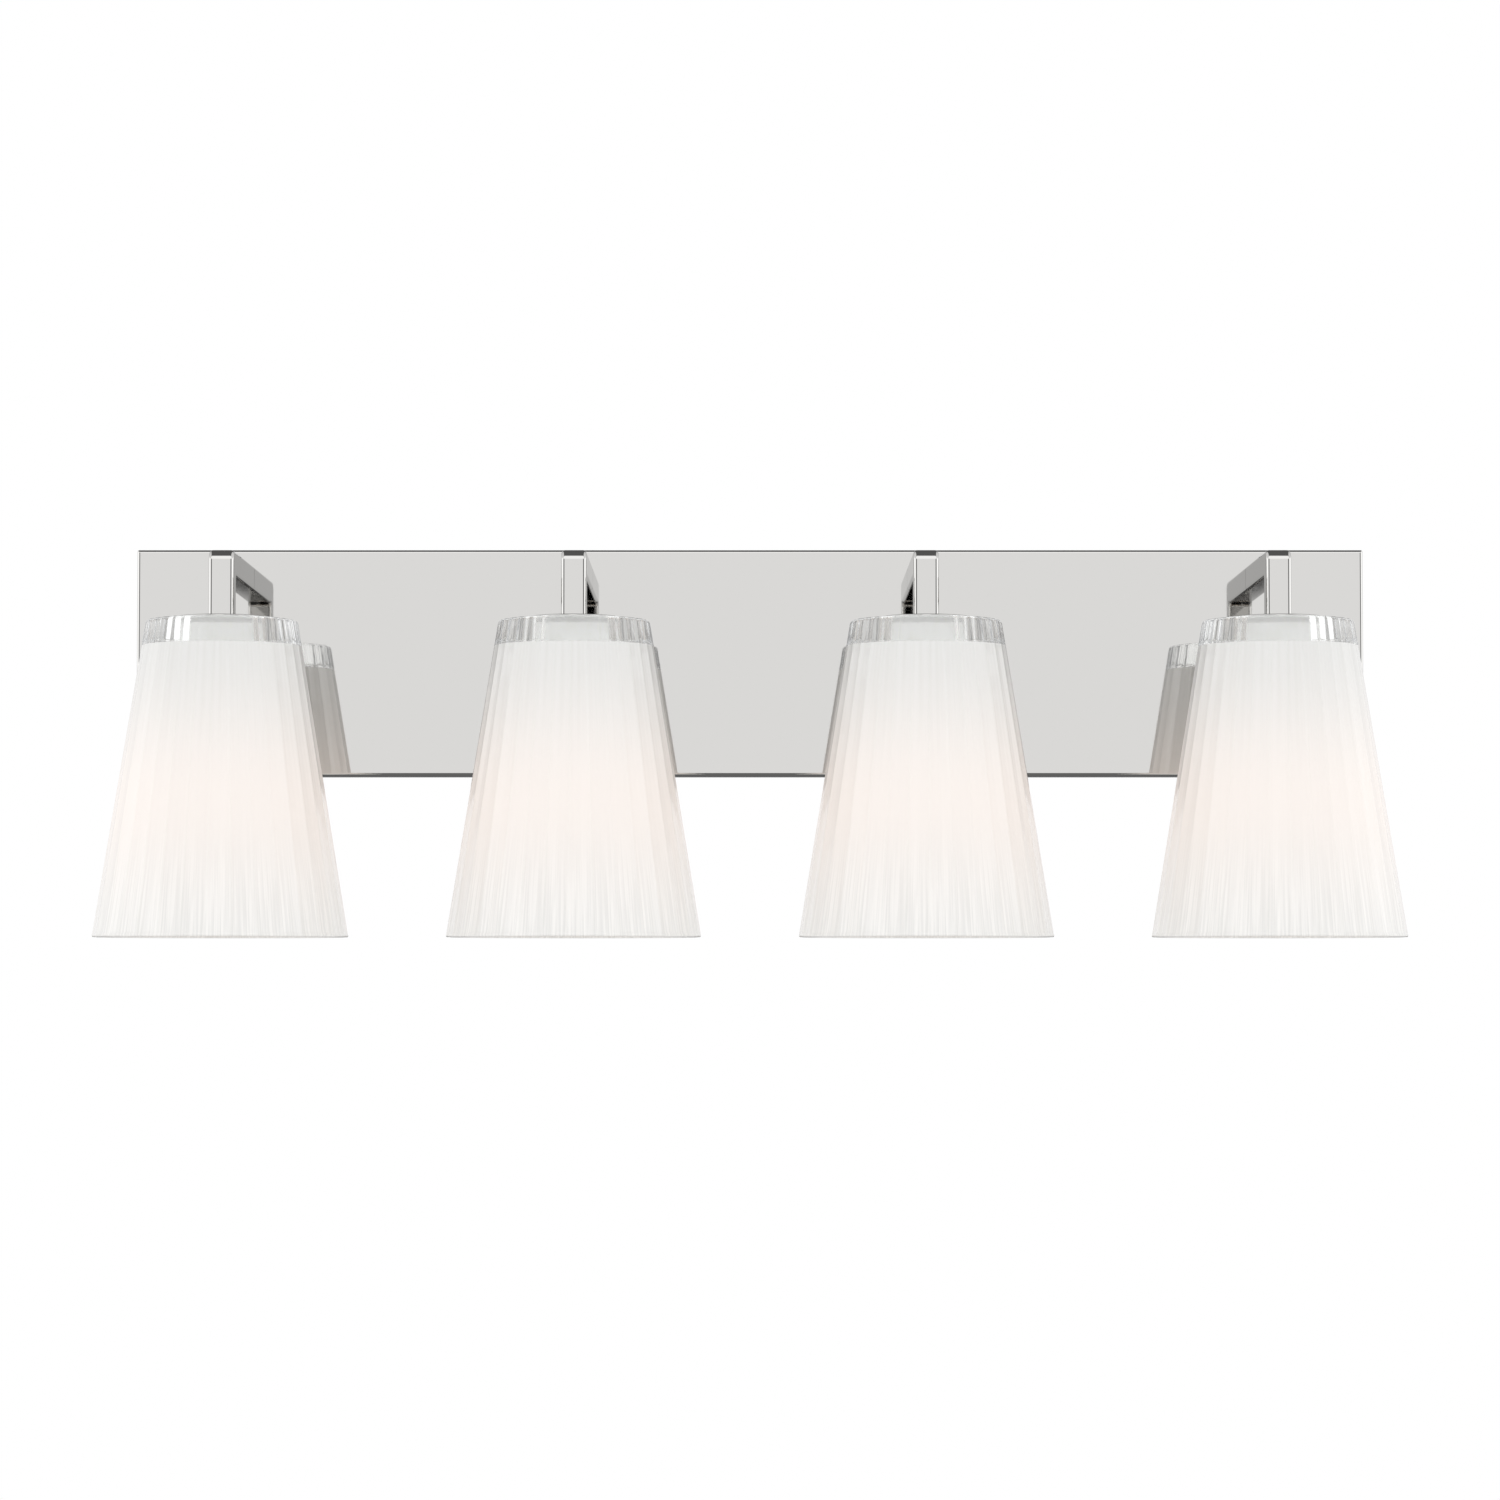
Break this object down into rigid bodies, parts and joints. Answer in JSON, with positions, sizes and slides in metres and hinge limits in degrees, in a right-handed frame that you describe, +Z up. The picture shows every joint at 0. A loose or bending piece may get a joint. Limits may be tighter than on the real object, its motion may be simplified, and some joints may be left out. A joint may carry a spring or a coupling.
{
  "type": "vanity light bar",
  "caption": "Wall-mounted bath bar: chrome backplate pan with square bent arms, each carrying a downward fluted glass shade round a screw-in lamp.",
  "frame": {"origin": "middle of the mounting bracket's back face, on the wall plane, level with the middle of the backplate", "axes": "+X to the right along the bar, -Y out of the wall into the room, +Z up"},
  "size_m": [0.73, 0.197, 0.225],
  "materials": {
    "polished_chrome": "polished mirror chrome plate",
    "zinc_plated_steel": "zinc-plated pressed steel",
    "nickel_plate": "satin nickel plate",
    "lamp_shell": "rolled thin sheet, screw-threaded",
    "brass_contact": "pressed brass",
    "green_screw": "green-dyed screw",
    "green_sheath": "extruded insulation",
    "orange_plastic": "moulded",
    "grey_plastic": "moulded",
    "wire_sleeving": "varnished braided sleeving",
    "white_plastic": "moulded heat-resistant plastic",
    "fluted_glass": "white opal glass with a clear fluted top",
    "frosted_glass": "frosted, lit from inside"
  },
  "bodies": {
    "fixture": {"backplate_pan": "polished_chrome", "mounting_bracket": "zinc_plated_steel", "pan_screw_left": "zinc_plated_steel", "pan_screw_right": "zinc_plated_steel", "ground_screw": "green_screw", "ground_wire": "green_sheath", "wire_connector_live": "orange_plastic", "wire_connector_neutral": "grey_plastic", "arm_1": "polished_chrome", "arm_nipple_1": "zinc_plated_steel", "arm_nut_1": "zinc_plated_steel", "lead_1": "wire_sleeving", "fitter_cap_1": "polished_chrome", "socket_nipple_1": "zinc_plated_steel", "socket_body_1": "white_plastic", "screw_shell_1": "nickel_plate", "centre_contact_1": "brass_contact", "shade_1": "fluted_glass", "shade_ring_1": "white_plastic", "arm_2": "polished_chrome", "arm_nipple_2": "zinc_plated_steel", "arm_nut_2": "zinc_plated_steel", "lead_2": "wire_sleeving", "fitter_cap_2": "polished_chrome", "socket_nipple_2": "zinc_plated_steel", "socket_body_2": "white_plastic", "screw_shell_2": "nickel_plate", "centre_contact_2": "brass_contact", "shade_2": "fluted_glass", "shade_ring_2": "white_plastic", "arm_3": "polished_chrome", "arm_nipple_3": "zinc_plated_steel", "arm_nut_3": "zinc_plated_steel", "lead_3": "wire_sleeving", "fitter_cap_3": "polished_chrome", "socket_nipple_3": "zinc_plated_steel", "socket_body_3": "white_plastic", "screw_shell_3": "nickel_plate", "centre_contact_3": "brass_contact", "shade_3": "fluted_glass", "shade_ring_3": "white_plastic", "arm_4": "polished_chrome", "arm_nipple_4": "zinc_plated_steel", "arm_nut_4": "zinc_plated_steel", "lead_4": "wire_sleeving", "fitter_cap_4": "polished_chrome", "socket_nipple_4": "zinc_plated_steel", "socket_body_4": "white_plastic", "screw_shell_4": "nickel_plate", "centre_contact_4": "brass_contact", "shade_4": "fluted_glass", "shade_ring_4": "white_plastic"},
    "lamp_1": {"lamp_base_1": "lamp_shell", "lamp_bulb_1": "frosted_glass"},
    "lamp_2": {"lamp_base_2": "lamp_shell", "lamp_bulb_2": "frosted_glass"},
    "lamp_3": {"lamp_base_3": "lamp_shell", "lamp_bulb_3": "frosted_glass"},
    "lamp_4": {"lamp_base_4": "lamp_shell", "lamp_bulb_4": "frosted_glass"}
  },
  "joints": [
    {"name": "lamp_1_out", "type": "slide", "parent": "fixture", "child": "lamp_1", "axis": [0, 0, -1], "range_m": [0, 0.165]},
    {"name": "lamp_2_out", "type": "slide", "parent": "fixture", "child": "lamp_2", "axis": [0, 0, -1], "range_m": [0, 0.165]},
    {"name": "lamp_3_out", "type": "slide", "parent": "fixture", "child": "lamp_3", "axis": [0, 0, -1], "range_m": [0, 0.165]},
    {"name": "lamp_4_out", "type": "slide", "parent": "fixture", "child": "lamp_4", "axis": [0, 0, -1], "range_m": [0, 0.165]}
  ]
}
